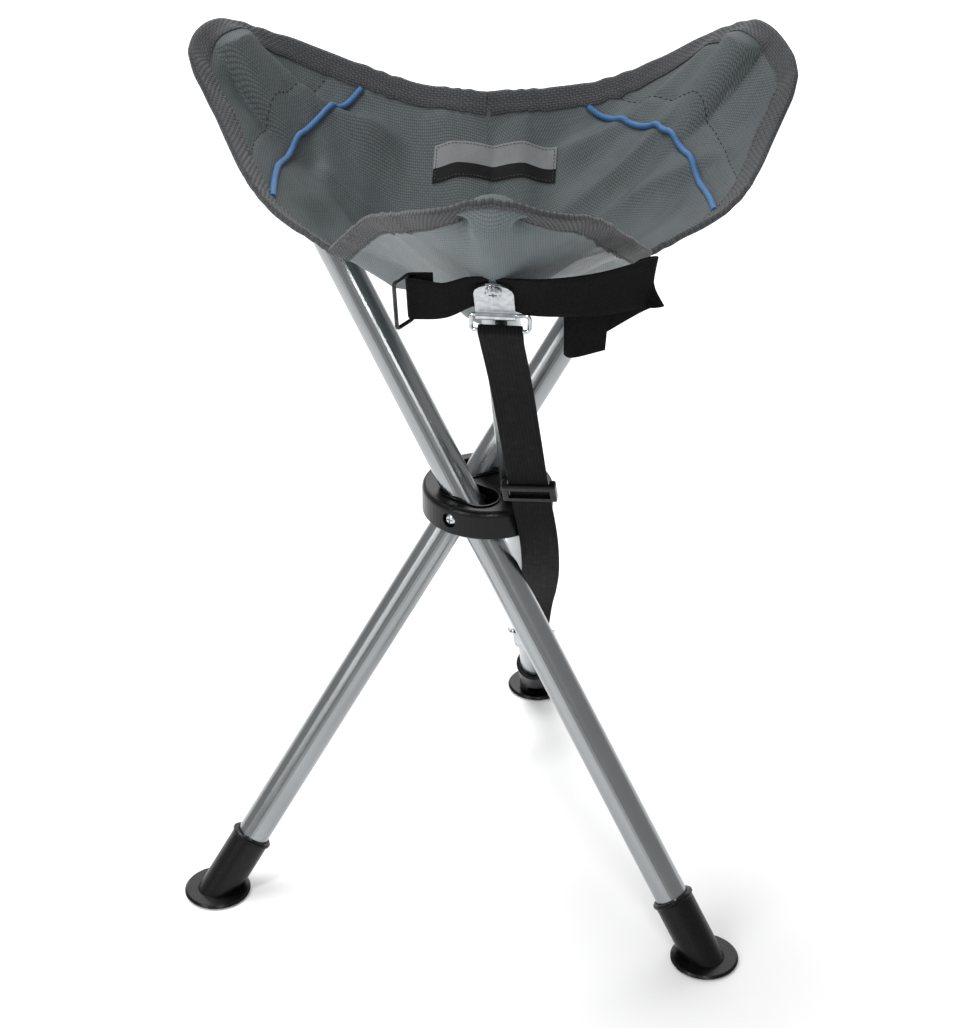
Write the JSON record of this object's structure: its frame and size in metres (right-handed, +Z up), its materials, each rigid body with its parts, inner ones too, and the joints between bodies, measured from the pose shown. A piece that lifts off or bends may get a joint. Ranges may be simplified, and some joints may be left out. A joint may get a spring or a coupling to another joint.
{
  "type": "three leg stool",
  "caption": "Folding tripod stool with a slung fabric seat, tubular legs crossing in a round hub, pivot screws, flanged rubber feet and a shoulder strap.",
  "frame": {"origin": "on the ground, under the middle of the open stool's bounding box", "axes": "+Z up; the front seat corner points to -Y, the straight side between the two back corners faces +Y"},
  "size_m": [0.3848, 0.4165, 0.5704],
  "materials": {
    "tube": "satin",
    "plastic": "moulded, slightly grained",
    "steel": "bright zinc plated",
    "brass": "machined",
    "cloth": "coated plain weave",
    "binding": "ribbed tape",
    "piping": "covered cord",
    "webbing": "woven webbing",
    "label": "woven patch"
  },
  "bodies": {
    "hub": {"hub_body": "plastic", "pivot_screw_left": "steel", "pivot_screw_right": "steel", "pivot_screw_front": "steel", "pivot_insert_left": "brass", "pivot_insert_right": "brass", "pivot_insert_front": "brass", "pivot_washer_left": "steel", "pivot_washer_right": "steel", "pivot_washer_front": "steel", "seat_panel": "cloth", "edge_binding_back": "binding", "edge_binding_left": "binding", "edge_binding_right": "binding", "label_patch": "label"},
    "leg_left": {"leg_tube_left": "tube", "leg_plug_left": "plastic", "foot_left": "plastic", "corner_pocket_left": "cloth", "corner_panel_left": "cloth", "corner_binding_left": "binding", "piping_left": "piping"},
    "leg_right": {"leg_tube_right": "tube", "leg_plug_right": "plastic", "foot_right": "plastic", "corner_pocket_right": "cloth", "corner_panel_right": "cloth", "corner_binding_right": "binding", "piping_right": "piping"},
    "leg_front": {"leg_tube_front": "tube", "leg_plug_front": "plastic", "foot_front": "plastic", "corner_pocket_front": "cloth", "corner_panel_front": "cloth", "corner_binding_front": "binding", "piping_front": "piping", "upper_bracket": "steel", "lower_bracket": "steel", "upper_bracket_screw": "steel", "lower_bracket_screw": "steel", "carry_strap": "webbing", "closure_strap": "webbing"},
    "upper_ring": {"upper_strap_ring": "steel"},
    "lower_ring": {"lower_strap_ring": "steel"},
    "closure_ring": {"closure_ring": "steel"},
    "slider": {"strap_slider": "plastic"}
  },
  "joints": [
    {"name": "left_leg_fold", "type": "hinge", "parent": "hub", "child": "leg_left", "pos_m": [-0.00105, -0.02678, 0.2816], "axis": [0.5, 0.866, 0], "range_deg": [0, 29.5], "deforming": ["seat_panel", "edge_binding_back", "edge_binding_left", "edge_binding_right", "label_patch", "corner_panel_left", "corner_panel_right", "corner_panel_front", "corner_binding_left", "corner_binding_right", "corner_binding_front", "piping_left", "piping_right", "piping_front", "closure_strap"]},
    {"name": "right_leg_fold", "type": "hinge", "parent": "hub", "child": "leg_right", "pos_m": [-0.00105, 0.00838, 0.2816], "axis": [0.5, -0.866, 0], "range_deg": [0, 29.5]},
    {"name": "front_leg_fold", "type": "hinge", "parent": "hub", "child": "leg_front", "pos_m": [0.0294, -0.0092, 0.2816], "axis": [-1, 0, 0], "range_deg": [0, 29.5]},
    {"name": "upper_ring_swing", "type": "hinge", "parent": "leg_front", "child": "upper_ring", "pos_m": [0.0294, -0.16997, 0.48653], "axis": [1, 0, 0], "range_deg": [-30, 20]},
    {"name": "lower_ring_swing", "type": "hinge", "parent": "leg_front", "child": "lower_ring", "pos_m": [0.0294, 0.08942, 0.1115], "axis": [1, 0, 0], "range_deg": [-15, 30]},
    {"name": "closure_ring_swing", "type": "hinge", "parent": "leg_front", "child": "closure_ring", "pos_m": [-0.01553, -0.18101, 0.50049], "axis": [0, -0.3011, 0.9536], "range_deg": [-40, 40]},
    {"name": "slider_slide", "type": "slide", "parent": "leg_front", "child": "slider", "axis": [-0.0651, -0.495, 0.8664], "range_m": [-0.01, 0.1], "deforming": ["carry_strap"]}
  ],
  "couplings": [
    {"joint": "right_leg_fold", "follows": "left_leg_fold", "ratio": 1},
    {"joint": "front_leg_fold", "follows": "left_leg_fold", "ratio": 1}
  ]
}
